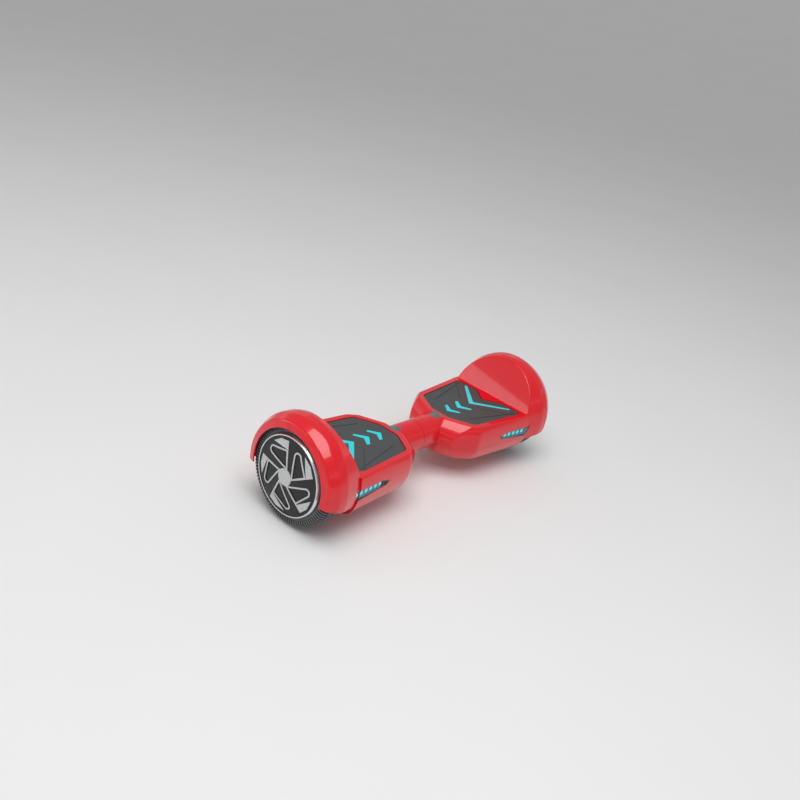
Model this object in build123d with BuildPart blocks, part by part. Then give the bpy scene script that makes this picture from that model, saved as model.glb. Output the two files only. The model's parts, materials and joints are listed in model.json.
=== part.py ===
from build123d import *
import os
from math import cos, radians, sin

os.makedirs("parts", exist_ok=True)

# A two-wheeled self-balancing board, in millimetres.  X runs along the board, Z is up, -Y is
# the front with the headlights, and the origin is on the floor under the swivel seam.  The
# right half (+X) is modelled, and the left half is its mirror image.

# ------------------------------------------------------------------ driving dimensions
half_length = 291.5          # swivel seam to the fender's outer lip
wheel_radius = 85.0
tyre_width = 44.0
tyre_section = 19.0          # bead seat to tread
hull_half_width = 91.5       # at the waist, beside the wheel
neck_radius = 28.0
wall = 2.8                   # shells and fenders
hull_above_axle = 24.5       # axle to the top of the rim round the foot pad
hull_below_axle = 52.0       # axle to the underside
swivel_drop = 4.0            # swivel axis below the axle
axle_radius = 8.0
pad_thickness = 4.2
pad_travel = 1.2
swivel_limit = 10.0          # degrees each way
tube_radius = 17.0           # pivot tube between the halves
running_clearance = 0.05     # shafts in their bearings and bushes
fit_clearance = 0.2          # parts set into a shell
seam_gap = 0.3               # between the top and bottom shells
swivel_gap = 0.8             # between the two necks

# ------------------------------------------------------------------ heights and stations
axle_height = wheel_radius
swivel_height = axle_height - swivel_drop
rim_height = axle_height + hull_above_axle
belly_height = axle_height - hull_below_axle
split_height = axle_height - 19.0
well_depth = 70.0            # fender lip to the hull's end wall
tail_x = half_length - well_depth
tyre_x = half_length - tyre_width / 2 - 5.5      # middle of the tyre
nose_x = neck_radius + 10.0  # where the hull begins on the neck

axle_plane = Plane(origin=(0, 0, axle_height), x_dir=(1, 0, 0), z_dir=(0, -1, 0))
axle_axis = Axis((0, 0, axle_height), (1, 0, 0))
swivel_plane = Plane(origin=(0, 0, swivel_height), x_dir=(1, 0, 0), z_dir=(0, -1, 0))
swivel_axis = Axis((0, 0, swivel_height), (1, 0, 0))

# ------------------------------------------------------------------ foot pad and deck
pad_top = rim_height - 1.0
pad_bottom = pad_top - pad_thickness
deck_top = pad_bottom - pad_travel - 0.4
deck_thickness = 3.0
deck_bottom = deck_top - deck_thickness
pad_gap = 0.8                # pad to rim, all round
pad_nose_x = nose_x + 30.0
pad_end_x = tail_x - 10.0    # outer end, beside the fender's wall
pad_half_width = hull_half_width - 16.0
pad_notch_x = pad_end_x - 24.0
pad_notch_half_width = 30.0

# ------------------------------------------------------------------ frame and screws
plate_height = axle_height - 13.0    # underside of the chassis plate
plate_thickness = 4.0
plate_top = plate_height + plate_thickness
boss_radius = neck_radius - wall - 2.2
boss_start_x = 16.0
boss_end_x = 60.0
bush_wall = 2.0
screw_radius = 2.0
post_radius = 5.5
post_places = [(100.0, 42.0), (tail_x - 71.0, 46.0), (tail_x - 16.5, 46.0)]


# ------------------------------------------------------------------ shared helpers
def save(piece, name):
    """Label a finished piece and write it as its own STEP file."""
    piece.label = name
    export_step(piece, f"parts/{name}.step")


def mirrored(piece):
    """The left-hand twin of a right-hand piece."""
    with BuildPart() as twin:
        add(mirror(piece, about=Plane.YZ))
    return twin.part


def save_pair(piece, name):
    """Write a piece for the right half and its mirror image for the left half."""
    save(mirrored(piece), f"left_{name}")
    save(piece, f"right_{name}")


def profile(points, plane, radii=None, inset=0.0):
    """A closed face from corner points in a plane, with one corner radius for each point."""
    with BuildSketch(plane) as face:
        with BuildLine():
            if radii is None:
                Polyline(*points, close=True)
            else:
                FilletPolyline(*points, radius=radii, close=True)
        make_face()
        if inset:
            offset(amount=-inset, kind=Kind.INTERSECTION)
    return face.sketch


def turned(points, radii=None):
    """A closed (x, radius) profile in the plane through the axle."""
    return profile(points, axle_plane, radii)


def both_sides(points):
    """Corner points on +Y followed by their mirror images on -Y, in order round the outline."""
    return points + [(x, -y) for x, y in reversed(points)]


# ------------------------------------------------------------------ hull and fender
# Each level of the hull is (height, nose corner, shoulder corner, flank corner, tail half
# width): its outline runs from the neck, round the shoulder and along the flank to the wheel.
waist = hull_half_width
low_height = belly_height + 11.0
edge_height = rim_height - 9.0
hull_levels = [
    (belly_height, (nose_x + 28, 14), (nose_x + 46, waist - 49.5), (nose_x + 74, waist - 35.5), waist - 25),
    (low_height, (nose_x + 12, 20), (nose_x + 30, waist - 41.5), (nose_x + 62, waist - 21.5), waist - 11),
    (axle_height - 7, (nose_x, 26), (nose_x + 12, waist - 39.5), (nose_x + 52, waist - 12.5), waist),
    (edge_height, (nose_x + 8, 22), (nose_x + 28, waist - 31.5), (nose_x + 54, waist - 13.5), waist - 0.8),
    (rim_height, (nose_x + 18, 20), (nose_x + 40, waist - 29.5), (nose_x + 56, waist - 17.5), waist - 3.0),
]
corner_radii = [7.0, 16.0, 20.0, 0.0]


def hull_outline(level, inset=0.0, height=None):
    """The hull's outline at one level, drawn in by a wall thickness if it is the cavity's."""
    level_height, nose, shoulder, flank, tail = level
    near = [nose, shoulder, flank, (tail_x, tail)]
    radii = corner_radii + corner_radii[::-1]
    with BuildSketch(Plane.XY.offset(level_height if height is None else height)) as outline:
        with BuildLine():
            FilletPolyline(*both_sides(near), radius=radii, close=True)
        make_face()
        if inset:
            offset(amount=-inset, kind=Kind.INTERSECTION)
    return outline.sketch


fender_root = wheel_radius + 3.0
fender_crown = wheel_radius + 12.0
crease_radius = wheel_radius + 4.0
lip_radius = wheel_radius - 8.5
crown_x = half_length - 36.0
crest_x = half_length - 20.0
crease_x = half_length - 4.0
wall_slope = 0.38            # run of the fender's inner wall for each unit of rise
half_moon_radius = 0.85 * wall    # round edge of that inner wall, within the shell's thickness
foot_height = axle_height - 29.0
foot_slope = 0.22


def fender_face(root_x, thickness, mouth):
    """A profile about the axle: the fender's own, or the wheel well's, a thickness inside it."""
    bend = 0.3 * thickness
    corners = [
        (root_x, 0),
        (root_x, fender_root - thickness),
        (crown_x, fender_crown - thickness),
        (crest_x - bend, fender_crown - thickness),
        (crease_x - 3 * bend, crease_radius - bend),
        (half_length - thickness, lip_radius),
    ]
    radii = [0, 0, 12.0, 16.0, 5.0, 0]
    return turned(corners + mouth, radii + [0] * len(mouth))


def above_inner_wall(shift):
    """The wedge over the deck, inboard of the fender's slanted inner wall."""
    rise = 2 * fender_crown
    foot_x = tail_x - wall + shift
    corners = [
        (foot_x, rim_height - 1.5),
        (foot_x + wall_slope * rise, rim_height - 1.5 + rise),
        (0, rim_height - 1.5 + rise),
        (0, rim_height - 1.5),
    ]
    return profile(corners, Plane.XZ)


with BuildPart() as hull:
    for level in hull_levels:
        add(hull_outline(level))
    loft()
    fillet(hull.edges().group_by(Axis.Z)[-1].filter_by(lambda e: e.center().X < tail_x - 1), 3.5)

with BuildPart() as fender:
    revolve(fender_face(tail_x - wall, 0, [(half_length, 0)]), axis=axle_axis)
    extrude(above_inner_wall(0), amount=2 * fender_crown, both=True, mode=Mode.SUBTRACT)
    half_moon = fender.faces().filter_by(GeomType.PLANE).sort_by(Axis.Z)[-1]
    fillet(half_moon.edges().filter_by(lambda edge: edge.center().Z > rim_height), half_moon_radius)
    with BuildSketch(Plane.XZ):
        with BuildLine():
            Polyline(
                (tail_x - 2 * wall, -20),
                (tail_x - 2 * wall, foot_height),
                (tail_x, foot_height),
                (half_length + 10, foot_height + foot_slope * (half_length + 10 - tail_x)),
                (half_length + 10, -20),
                close=True,
            )
        make_face()
    extrude(amount=2 * fender_crown, both=True, mode=Mode.SUBTRACT)

with BuildPart() as outer_form:
    add(hull.part)
    add(fender.part)
    with BuildSketch(Plane.YZ.offset(swivel_gap / 2)):
        with Locations((0, swivel_height)):
            Circle(neck_radius)
    extrude(amount=boss_end_x)

with BuildPart() as cavity:
    for index, level in enumerate(hull_levels[:-1]):
        floor = belly_height + wall if index == 0 else None
        ceiling = deck_bottom if index == len(hull_levels) - 2 else floor
        add(hull_outline(level, wall, ceiling))
    loft()
    with BuildSketch(Plane.YZ):
        with Locations((0, swivel_height)):
            Circle(neck_radius - wall)
    extrude(amount=boss_end_x + 4.5)

with BuildPart() as wheel_well:
    mouth_x = half_length + 10
    revolve(fender_face(tail_x, wall, [(mouth_x, lip_radius), (mouth_x, 0)]), axis=axle_axis)
    extrude(above_inner_wall(wall * 1.07), amount=2 * fender_crown, both=True, mode=Mode.SUBTRACT)

with BuildPart() as skin:
    add(outer_form.part)
    add(cavity.part, mode=Mode.SUBTRACT)
    add(wheel_well.part, mode=Mode.SUBTRACT)


# ------------------------------------------------------------------ shells
def lens_outline(gap):
    """The headlight's outline on the front, pointed towards the neck."""
    corners = [
        (tail_x - 74.5, axle_height - 3.0),
        (tail_x - 55.0, axle_height + 2.5),
        (tail_x + 7.5, axle_height + 3.5),
        (tail_x + 3.0, axle_height - 15.5),
        (tail_x - 69.0, axle_height - 9.5),
    ]
    with BuildSketch(Plane.XZ.offset(hull_half_width / 2)) as outline:
        with BuildLine():
            FilletPolyline(*corners, radius=[0.8, 6.0, 1.5, 1.5, 2.0], close=True)
        make_face()
        if gap:
            offset(amount=gap)
    return outline.sketch


def lens_form(gap):
    """The piece of the front skin inside the headlight's outline."""
    with BuildPart() as form:
        add(outer_form.part)
        add(cavity.part, mode=Mode.SUBTRACT)
        add(wheel_well.part, mode=Mode.SUBTRACT)
        extrude(cavity.faces().sort_by(Axis.X)[-1], amount=wall + 0.1, mode=Mode.SUBTRACT)
        extrude(lens_outline(gap), amount=hull_half_width, mode=Mode.INTERSECT)
    return form.part


def window_outline(gap):
    """The status window's trapezoid on top of the neck, wider towards the foot pad."""
    near = [(nose_x + 5.0, 7.5), (nose_x + 24.0, 12.0)]
    with BuildSketch(Plane.XY.offset(swivel_height)) as outline:
        with BuildLine():
            FilletPolyline(*both_sides(near), radius=1.5, close=True)
        make_face()
        if gap:
            offset(amount=gap)
    return outline.sketch


def pad_outline(gap, height):
    """The foot pad's outline: blunt towards the neck, notched where it meets the fender."""
    near = [
        (pad_nose_x, 20.0),
        (pad_nose_x + 23.0, pad_half_width - 13.5),
        (pad_end_x, pad_half_width),
        (pad_end_x, pad_notch_half_width),
    ]
    corners = near + [(pad_notch_x, 0)] + [(x, -y) for x, y in reversed(near)]
    radii = [18.0, 14.0, 10.0, 3.0, 4.0, 3.0, 10.0, 14.0, 18.0]
    with BuildSketch(Plane.XY.offset(height)) as outline:
        with BuildLine():
            FilletPolyline(*corners, radius=radii, close=True)
        make_face()
        if gap:
            offset(amount=gap)
    return outline.sketch


gyro_x = (pad_nose_x + pad_end_x) / 2
plunger_y = 20.0
plunger_radius = 4.0
lamp_count = 6
lamp_pitch = 11.6
lamp_board_length = lamp_pitch * (lamp_count - 1) + 7.0
lamp_lean = 5.4              # degrees that the front leans outwards towards the wheel
lamp_board_depth = 15.5      # board behind the hull's widest point
lamp_plane = Plane(
    origin=(tail_x - 37.5, lamp_board_depth - hull_half_width, axle_height - 5.0),
    x_dir=(cos(radians(lamp_lean)), -sin(radians(lamp_lean)), 0),
    z_dir=(-sin(radians(lamp_lean)), -cos(radians(lamp_lean)), 0),
)


def slab_below(height):
    """Everything under a height, between the swivel and the wheel well."""
    with BuildPart() as slab:
        with BuildSketch():
            with Locations((tail_x / 2, 0)):
                Rectangle(tail_x, 4 * hull_half_width)
        extrude(amount=height)
    return slab.part


counterbore_height = axle_height - 30.0
screw_head_radius = 3.8
screw_end = axle_height + 7.0
post_pairs = [(x, side * y) for x, y in post_places for side in (-1, 1)]


def shell_top(sockets):
    """The top shell with its fender; the right one also has the sockets at the back."""
    with BuildPart() as top:
        add(skin.part)
        add(slab_below(split_height), mode=Mode.SUBTRACT)
        extrude(pad_outline(pad_gap, deck_top), amount=2 * pad_thickness, mode=Mode.SUBTRACT)
        add(lens_form(fit_clearance), mode=Mode.SUBTRACT)
        extrude(window_outline(fit_clearance), amount=2 * neck_radius, mode=Mode.SUBTRACT)
        with BuildSketch(Plane.XY.offset(plate_top)):
            with Locations(*post_pairs):
                Circle(post_radius)
        extrude(amount=deck_bottom - plate_top + 1.0)
        with BuildSketch(Plane.XY.offset(plate_top)):
            with Locations(*post_pairs):
                Circle(screw_radius)
        extrude(amount=screw_end - plate_top + 1.0, mode=Mode.SUBTRACT)
        with BuildSketch(Plane.XY.offset(deck_bottom - 1.0)):
            with Locations((gyro_x, plunger_y), (gyro_x, -plunger_y)):
                Circle(plunger_radius + 1.2)
        extrude(amount=deck_thickness + 2.0, mode=Mode.SUBTRACT)
        with BuildSketch(lamp_plane.offset(-3.0)):
            with Locations((-lamp_board_length / 3, 11.5), (lamp_board_length / 3, 11.5)):
                Rectangle(6.0, 18.0)
        extrude(amount=3.0)
        with BuildSketch(Plane.YZ.offset(tail_x - 2 * wall)):
            with Locations((0, axle_height)):
                Circle(axle_radius + 2.0)
        extrude(amount=3 * wall, mode=Mode.SUBTRACT)
        if sockets:
            add_sockets()
    return top.part


button_x = tail_x - 88.0
socket_x = tail_x - 46.0
socket_height = axle_height - 3.0
button_radius = 7.8
socket_radius = 9.0
recess_radius = 7.0
button_seat_y = hull_half_width - 4.5
socket_seat_y = hull_half_width - 2.0
flange_thickness = 1.2
cap_thickness = 2.0
cap_radius = 12.0
hinge_rise = cap_radius + 2.5
knuckle_radius = 1.8
pin_radius = 0.9
lug_width = 2.2
knuckle_length = 8.0
hinge_y = socket_seat_y + flange_thickness + cap_thickness / 2 + 0.4


def back_plane(x, y):
    """A plane facing backwards, centred at the height of the button and the socket."""
    return Plane(origin=(x, y, socket_height), x_dir=(-1, 0, 0), z_dir=(0, 1, 0))


def add_sockets():
    """Flat round seats for the power button and the charge socket, and the cap's hinge lugs."""
    for x, seat_y, seat_radius, hole_radius in (
        (button_x, button_seat_y, button_radius + 3.5, button_radius + fit_clearance),
        (socket_x, socket_seat_y, socket_radius + 3.5, socket_radius + fit_clearance),
    ):
        extrude(disc(back_plane(x, seat_y), seat_radius), amount=-7.0)
        extrude(disc(back_plane(x, seat_y), hole_radius), amount=-30.0, mode=Mode.SUBTRACT)
    for side in (-1, 1):
        centre = socket_x + side * (knuckle_length / 2 + 0.4 + lug_width / 2)
        with BuildPart(mode=Mode.PRIVATE) as lug:
            with BuildSketch(Plane.YZ.offset(centre - lug_width / 2)):
                with Locations((hinge_y - 3.0, socket_height + hinge_rise)):
                    Rectangle(6.0, 2 * knuckle_radius)
                with Locations((hinge_y, socket_height + hinge_rise)):
                    Circle(knuckle_radius)
                    Circle(pin_radius + running_clearance, mode=Mode.SUBTRACT)
            extrude(amount=lug_width)
        add(lug.part)


def disc(plane, radius):
    """A round face in a plane."""
    with BuildSketch(plane) as face:
        Circle(radius)
    return face.sketch


top_right = shell_top(sockets=True)
top_left = shell_top(sockets=False)
save(top_right, "right_top_shell")
save(mirrored(top_left), "left_top_shell")

with BuildPart() as bottom_shell:
    add(skin.part)
    add(slab_below(split_height - seam_gap), mode=Mode.INTERSECT)
    with BuildSketch(Plane.XY.offset(belly_height + wall / 2)):
        with Locations(*post_pairs):
            Circle(post_radius + 1.0)
    extrude(amount=plate_height - belly_height - wall / 2)
    with BuildSketch(Plane.XY.offset(belly_height - 1.0)):
        with Locations(*post_pairs):
            Circle(screw_head_radius + 0.5)
    extrude(amount=counterbore_height - belly_height + 1.0, mode=Mode.SUBTRACT)
    with BuildSketch(Plane.XY.offset(counterbore_height - 1.0)):
        with Locations(*post_pairs):
            Circle(screw_radius + 0.2)
    extrude(amount=plate_height, mode=Mode.SUBTRACT)
save_pair(bottom_shell.part, "bottom_shell")

with BuildPart() as shell_screws:
    with BuildSketch(Plane.XY.offset(counterbore_height - 3.0)):
        with Locations(*post_pairs):
            Circle(screw_head_radius)
            RegularPolygon(1.8, 6, mode=Mode.SUBTRACT)
    extrude(amount=2.0)
    with BuildSketch(Plane.XY.offset(counterbore_height - 1.0)):
        with Locations(*post_pairs):
            Circle(screw_head_radius)
    extrude(amount=1.0)
    with BuildSketch(Plane.XY.offset(counterbore_height)):
        with Locations(*post_pairs):
            Circle(screw_radius - running_clearance)
    extrude(amount=screw_end - counterbore_height)
save_pair(shell_screws.part, "shell_screws")

save_pair(lens_form(0), "headlight_lens")

with BuildPart() as status_window:
    add(skin.part)
    extrude(window_outline(0), amount=2 * neck_radius, mode=Mode.INTERSECT)
save_pair(status_window.part, "status_window")

with BuildPart() as headlight_board:
    with BuildSketch(lamp_plane):
        Rectangle(lamp_board_length, 12.0)
    extrude(amount=1.6)
    with BuildSketch(lamp_plane.offset(1.6)):
        with GridLocations(lamp_pitch, 0, lamp_count, 1):
            Rectangle(5.0, 5.0)
    extrude(amount=1.2)
    with BuildSketch(lamp_plane.offset(2.8)):
        with GridLocations(lamp_pitch, 0, lamp_count, 1):
            Circle(2.2)
    extrude(amount=2.4, taper=14)
save_pair(headlight_board.part, "headlight_board")

# ------------------------------------------------------------------ foot pad
# Each chevron is (apex, reach of its arms, half spread, width at the apex, width at the tip).
chevrons = [
    (pad_nose_x + 18.5, 14.5, 17.5, 11.0, 5.5),
    (pad_nose_x + 47.0, 16.5, 19.0, 12.0, 6.0),
    (pad_nose_x + 82.0, pad_end_x - pad_nose_x - 90.5, pad_half_width - 21.5, 13.0, 5.5),
]
groove_width = 1.6
groove_depth = 1.0
light_gap = 0.1
light_drop = 0.2             # light guides lie this far below the pad's face


def chevron_faces(gap, height):
    """The three chevrons, apex towards the neck, as faces at a height."""
    with BuildSketch(Plane.XY.offset(height)) as faces:
        for apex, reach, spread, apex_width, tip_width in chevrons:
            near = [(apex + reach, spread), (apex + reach + tip_width, spread - 0.35 * tip_width)]
            corners = [(apex, 0)] + near + [(apex + apex_width, 0)]
            corners += [(x, -y) for x, y in reversed(near)]
            with BuildLine():
                Polyline(*corners, close=True)
            make_face()
        if gap:
            offset(amount=-gap, kind=Kind.INTERSECTION)
    return faces.sketch


with BuildPart() as foot_pad:
    extrude(pad_outline(0, pad_bottom), amount=pad_thickness)
    fillet(foot_pad.edges().group_by(Axis.Z)[-1], 0.9)
    extrude(chevron_faces(0, pad_bottom - 1.0), amount=2 * pad_thickness, mode=Mode.SUBTRACT)
    for side in (-1, 1):
        with BuildSketch(Plane.XY.offset(pad_top - groove_depth)):
            with BuildLine():
                Polyline(
                    (pad_nose_x + 86, side * (pad_half_width - 49.5)),
                    (pad_end_x - 13.5, side * (pad_half_width - 4)),
                )
            trace(line_width=groove_width)
        extrude(amount=2 * groove_depth, mode=Mode.SUBTRACT)
        with BuildSketch(Plane.XY.offset(pad_top - groove_depth)):
            with BuildLine():
                Polyline(
                    (pad_nose_x + 33, side * (pad_half_width - 34.5)),
                    (pad_nose_x + 82, side * (pad_half_width - 21.5)),
                    (pad_end_x - 9, side * (pad_half_width - 8)),
                )
            trace(line_width=groove_width)
        extrude(amount=2 * groove_depth, mode=Mode.SUBTRACT)
    with BuildSketch(Plane.XY.offset(pad_bottom)):
        with Locations((gyro_x, plunger_y), (gyro_x, -plunger_y)):
            Circle(plunger_radius)
    extrude(amount=-(pad_bottom - axle_height - 7.5))
save_pair(foot_pad.part, "foot_pad")

with BuildPart() as pad_lights:
    extrude(chevron_faces(light_gap, pad_bottom + 0.5), amount=pad_thickness - 0.5 - light_drop)
save_pair(pad_lights.part, "pad_lights")

# ------------------------------------------------------------------ chassis frame
clamp_x = tail_x - 22.0
clamp_length = 28.0
clamp_half_width = 24.0
clamp_bolt_y = 17.5
clamp_bolt_x = 8.0
clamp_split = 0.3
bolt_radius = 2.5
bolt_head_radius = 4.2
flange_top = axle_height + 5.0
slot_start = boss_end_x - 2.0
slot_end = pad_nose_x + 42.0
slot_half_width = 13.0
rib_thickness = 4.0
board_half_x = 26.0
board_half_y = 29.0
gyro_board_height = axle_height + 2.0
gyro_standoffs = (2 * board_half_x - 8, 2 * board_half_y - 8)
main_board_start = pad_nose_x + 14.0
main_board_end = tail_x - 22.0
main_board_half_width = 33.0
main_board_height = axle_height - 31.0
board_thickness = 1.6
clamp_bolts_at = [(clamp_x + i * clamp_bolt_x, j * clamp_bolt_y) for i in (-1, 1) for j in (-1, 1)]


def chassis(bore, slotted, hung_posts):
    """The cast frame: plate, pivot boss, ribs, lower half of the axle clamp and standoffs."""
    plate_corners = [(boss_start_x + 28.0, 18.0), (boss_end_x + 20.0, 50.0), (tail_x - 8.0, 58.0)]
    with BuildPart() as casting:
        with BuildSketch(Plane.XY.offset(plate_height)):
            with BuildLine():
                Polyline(*both_sides(plate_corners), close=True)
            make_face()
        extrude(amount=plate_thickness)
        with BuildSketch(Plane.XY.offset(plate_top)):
            for side in (-1, 1):
                with Locations(((boss_end_x + 24 + tail_x - 12) / 2, side * 55.0)):
                    Rectangle(tail_x - boss_end_x - 36, 3.0)
        extrude(amount=6.0)
        for side in (-1, 1):
            with BuildSketch(Plane.XZ.offset(side * (slot_half_width + 4.0) - rib_thickness / 2)):
                with BuildLine():
                    Polyline(
                        (boss_start_x + 30, swivel_height - 14),
                        (boss_end_x + 6, swivel_height - 14),
                        (boss_end_x + 18, plate_height + 1),
                        (slot_end - 8, plate_top - 1),
                        (boss_end_x + 6, swivel_height + 12),
                        (boss_start_x + 30, swivel_height + 12),
                        close=True,
                    )
                make_face()
            extrude(amount=rib_thickness)
        with BuildSketch(Plane.YZ.offset(boss_start_x)):
            with Locations((0, swivel_height)):
                Circle(boss_radius)
        extrude(amount=boss_end_x - boss_start_x)
        with BuildSketch(Plane.XY.offset(plate_height)):
            with Locations(((slot_start + slot_end) / 2, 0)):
                SlotOverall(slot_end - slot_start, 2 * slot_half_width)
        extrude(amount=plate_thickness, mode=Mode.SUBTRACT)
        with BuildSketch(Plane.YZ.offset(boss_start_x - 1)):
            with Locations((0, swivel_height)):
                Circle(bore)
        extrude(amount=boss_end_x - boss_start_x + 8, mode=Mode.SUBTRACT)
        with BuildSketch(Plane.YZ.offset(boss_end_x)):
            with Locations((0, swivel_height)):
                Circle(boss_radius)
        extrude(amount=8.0, mode=Mode.SUBTRACT)
        with BuildSketch(Plane.XY.offset(plate_top - 1)):
            with Locations((clamp_x, 0)):
                Rectangle(clamp_length, 2 * clamp_half_width)
        extrude(amount=axle_height - clamp_split / 2 - plate_top + 1)
        with BuildSketch(Plane.YZ.offset(clamp_x - clamp_length)):
            with Locations((0, axle_height)):
                Circle(axle_radius + running_clearance)
        extrude(amount=2 * clamp_length, mode=Mode.SUBTRACT)
        with BuildSketch(Plane.XY.offset(plate_top - 1)):
            with Locations((gyro_x, 0)):
                with GridLocations(*gyro_standoffs, 2, 2):
                    Circle(3.2)
        extrude(amount=gyro_board_height - plate_top + 1)
        if hung_posts:
            with BuildSketch(Plane.XY.offset(main_board_height + board_thickness)):
                with Locations(((main_board_start + main_board_end) / 2, 0)):
                    with GridLocations(main_board_end - main_board_start - 40, 54, 2, 2):
                        Circle(3.2)
            extrude(amount=plate_height - main_board_height - board_thickness + 1)
        with BuildSketch(Plane.XY.offset(plate_height - 1)):
            with Locations(*clamp_bolts_at):
                Circle(bolt_radius + running_clearance)
            with Locations(*post_pairs):
                Circle(screw_radius + 0.3)
        extrude(amount=axle_height - plate_height + 2, mode=Mode.SUBTRACT)
        if slotted:
            with BuildSketch(Plane.XY.offset(swivel_height + tube_radius - 4)):
                with Locations((pin_x, 0)):
                    Rectangle(2 * limiter_radius + 0.8, 2 * limiter_sweep)
            extrude(amount=boss_radius, mode=Mode.SUBTRACT)
    return casting.part


limiter_radius = 2.5
pin_x = (boss_start_x + boss_end_x) / 2
pin_top = boss_radius - 0.5
limiter_sweep = pin_top * sin(radians(swivel_limit)) + limiter_radius + 0.4
bush_radius = tube_radius + bush_wall

save(chassis(bush_radius, slotted=True, hung_posts=True), "right_frame")
save(mirrored(chassis(tube_radius + running_clearance, slotted=False, hung_posts=False)), "left_frame")

with BuildPart() as axle_clamp:
    with BuildSketch(Plane.YZ.offset(clamp_x - clamp_length / 2)):
        with BuildLine():
            Polyline(
                (-clamp_half_width, axle_height + clamp_split / 2),
                (-clamp_half_width, flange_top),
                (-clamp_half_width + 12, flange_top),
                (-6.0, axle_height + axle_radius + 4),
                (6.0, axle_height + axle_radius + 4),
                (clamp_half_width - 12, flange_top),
                (clamp_half_width, flange_top),
                (clamp_half_width, axle_height + clamp_split / 2),
                close=True,
            )
        make_face()
        with Locations((0, axle_height)):
            Circle(axle_radius + running_clearance, mode=Mode.SUBTRACT)
    extrude(amount=clamp_length)
    with BuildSketch(Plane.XY.offset(axle_height)):
        with Locations(*clamp_bolts_at):
            Circle(bolt_radius + running_clearance)
    extrude(amount=flange_top - axle_height + 1, mode=Mode.SUBTRACT)
save_pair(axle_clamp.part, "axle_clamp")

with BuildPart() as clamp_bolts:
    with BuildSketch(Plane.XY.offset(plate_height)):
        with Locations(*clamp_bolts_at):
            Circle(bolt_radius)
    extrude(amount=flange_top - plate_height)
    with BuildSketch(Plane.XY.offset(flange_top)):
        with Locations(*clamp_bolts_at):
            RegularPolygon(bolt_head_radius, 6)
    extrude(amount=3.5)
save_pair(clamp_bolts.part, "clamp_bolts")

with BuildPart() as gyro_board:
    with BuildSketch(Plane.XY.offset(gyro_board_height)):
        with Locations((gyro_x, 0)):
            Rectangle(2 * board_half_x, 2 * board_half_y)
    extrude(amount=board_thickness)
    with BuildSketch(Plane.XY.offset(gyro_board_height + board_thickness)):
        with Locations((gyro_x, plunger_y), (gyro_x, -plunger_y)):
            Rectangle(9.0, 7.0)
        with Locations((gyro_x, 0)):
            Rectangle(10.0, 10.0)
        with Locations((gyro_x - 17, 0)):
            Rectangle(6.0, 20.0)
    extrude(amount=1.6)
save_pair(gyro_board.part, "gyro_board")

# ------------------------------------------------------------------ hub motor and wheel
axle_start = clamp_x - clamp_length / 2 - 2.0
axle_end = tyre_x + 25.5
bead_radius = wheel_radius - tyre_section
hub_wall = 5.5
magnet_thickness = 3.0
magnet_radius = bead_radius - hub_wall
air_gap = 0.7
stator_radius = magnet_radius - magnet_thickness - air_gap
stack_half = 12.0
tooth_count = 18
tooth_root = stator_radius - 28.0
bearing_radius = 17.5
bearing_width = 11.0
bearing_inset = 13.0
boss_wall = 4.5
half_tyre = tyre_width / 2
bead_half = half_tyre - 5.0

with BuildPart() as motor_axle:
    with BuildSketch(Plane.YZ.offset(axle_start)):
        with Locations((0, axle_height)):
            Circle(axle_radius)
            Circle(2.6, mode=Mode.SUBTRACT)
    extrude(amount=axle_end - axle_start)
save_pair(motor_axle.part, "motor_axle")

with BuildPart() as stator_core:
    with BuildSketch(Plane.YZ.offset(tyre_x - stack_half)):
        with Locations((0, axle_height)):
            Circle(tooth_root)
            with PolarLocations((tooth_root + stator_radius) / 2 - 1, tooth_count):
                Rectangle(stator_radius - tooth_root, 4.0)
            with PolarLocations(stator_radius - 1.6, tooth_count):
                Rectangle(3.0, 13.0)
            Circle(stator_radius, mode=Mode.INTERSECT)
            Circle(axle_radius + running_clearance, mode=Mode.SUBTRACT)
    extrude(amount=2 * stack_half)
save_pair(stator_core.part, "stator_core")

with BuildPart() as stator_windings:
    with BuildSketch(Plane.YZ.offset(tyre_x - stack_half - 3.5)):
        with Locations((0, axle_height)):
            with PolarLocations((tooth_root + stator_radius) / 2 - 1.5, tooth_count):
                RectangleRounded(stator_radius - tooth_root - 7.0, 8.4, 1.5)
    extrude(amount=2 * stack_half + 7.0)
    with BuildSketch(Plane.YZ.offset(tyre_x - stack_half - 0.2)):
        with Locations((0, axle_height)):
            with PolarLocations((tooth_root + stator_radius) / 2 - 1, tooth_count):
                Rectangle(stator_radius - tooth_root + 4, 4.4)
    extrude(amount=2 * stack_half + 0.4, mode=Mode.SUBTRACT)
save_pair(stator_windings.part, "stator_windings")

with BuildPart() as magnets:
    revolve(
        turned(
            [
                (tyre_x - stack_half - 1, magnet_radius - magnet_thickness),
                (tyre_x - stack_half - 1, magnet_radius),
                (tyre_x + stack_half + 1, magnet_radius),
                (tyre_x + stack_half + 1, magnet_radius - magnet_thickness),
            ]
        ),
        axis=axle_axis,
    )
    with BuildSketch(Plane.YZ.offset(tyre_x - stack_half - 2)):
        with Locations((0, axle_height)):
            with PolarLocations(magnet_radius - magnet_thickness, 20):
                Rectangle(2.4, 1.2)
    extrude(amount=2 * stack_half + 4, mode=Mode.SUBTRACT)
save_pair(magnets.part, "magnet_ring")

cover_plane_x = tyre_x - half_tyre + 0.4     # where the inner cover meets the hub shell
cover_thickness = 2.6
cover_face = Plane(
    origin=(cover_plane_x - cover_thickness, 0, axle_height), x_dir=(0, -1, 0), z_dir=(-1, 0, 0)
)
face_x = tyre_x + half_tyre - 4.2            # back of the hub shell's outer face
face_thickness = 3.4
ring_x = half_length - 2.3                   # front of the bright rim flange
hubcap_radius = bead_radius - 2.6

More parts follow.
